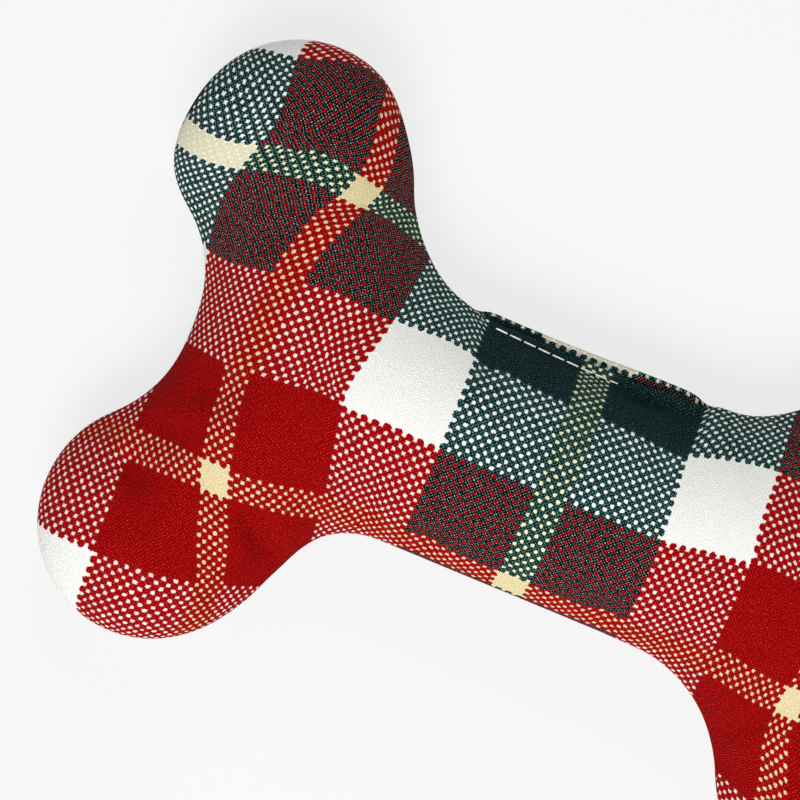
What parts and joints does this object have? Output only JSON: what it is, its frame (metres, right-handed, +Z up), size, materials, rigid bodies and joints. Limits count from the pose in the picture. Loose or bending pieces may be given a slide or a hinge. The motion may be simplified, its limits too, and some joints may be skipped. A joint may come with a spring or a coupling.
{
  "type": "squeaky dog toy",
  "caption": "Bone-shaped stuffed dog toy of two sewn plaid canvas panels, fibre wads and a reed squeaker that is sounded by squeezing the shaft.",
  "frame": {"origin": "centre of the underside, on the surface the toy lies on", "axes": "+X along the bone, +Y across it towards the closing lip, +Z up through the front panel"},
  "size_m": [0.1996, 0.131, 0.0388],
  "materials": {
    "plaid_canvas": "woven cotton canvas in a red, green, white and cream check",
    "sewing_thread": "spun polyester thread",
    "fibre_fill": "loose polyester fibre",
    "soft_plastic": "blow-moulded soft polyethylene",
    "hard_plastic": "moulded hard plastic",
    "reed_film": "thin plastic film"
  },
  "bodies": {
    "toy": {"front_panel": "plaid_canvas", "back_panel": "plaid_canvas", "seam_needle_thread": "sewing_thread", "seam_bobbin_thread": "sewing_thread", "closing_needle_thread": "sewing_thread", "closing_bobbin_thread": "sewing_thread", "knob_stuffing_upper_left": "fibre_fill", "knob_stuffing_lower_left": "fibre_fill", "knob_stuffing_upper_right": "fibre_fill", "knob_stuffing_lower_right": "fibre_fill", "neck_stuffing_left": "fibre_fill", "neck_stuffing_right": "fibre_fill", "shaft_stuffing_back": "fibre_fill", "squeaker_bulb": "soft_plastic"},
    "press": {"shaft_stuffing_front": "fibre_fill", "reed_housing": "hard_plastic", "reed_seat": "hard_plastic", "reed_clamp": "hard_plastic"},
    "reed": {"reed_tongue": "reed_film"}
  },
  "joints": [
    {"name": "squeeze", "type": "slide", "parent": "toy", "child": "press", "axis": [0, 0, -1], "range_m": [0, 0.008], "stiffness_N_per_m": 1500, "deforming": ["front_panel", "shaft_stuffing_front", "squeaker_bulb"]},
    {"name": "reed_flex", "type": "hinge", "parent": "press", "child": "reed", "pos_m": [0, 0, 0.02775], "axis": [0, -1, 0], "range_deg": [-3, 3], "stiffness_Nm_per_rad": 0.0007}
  ]
}
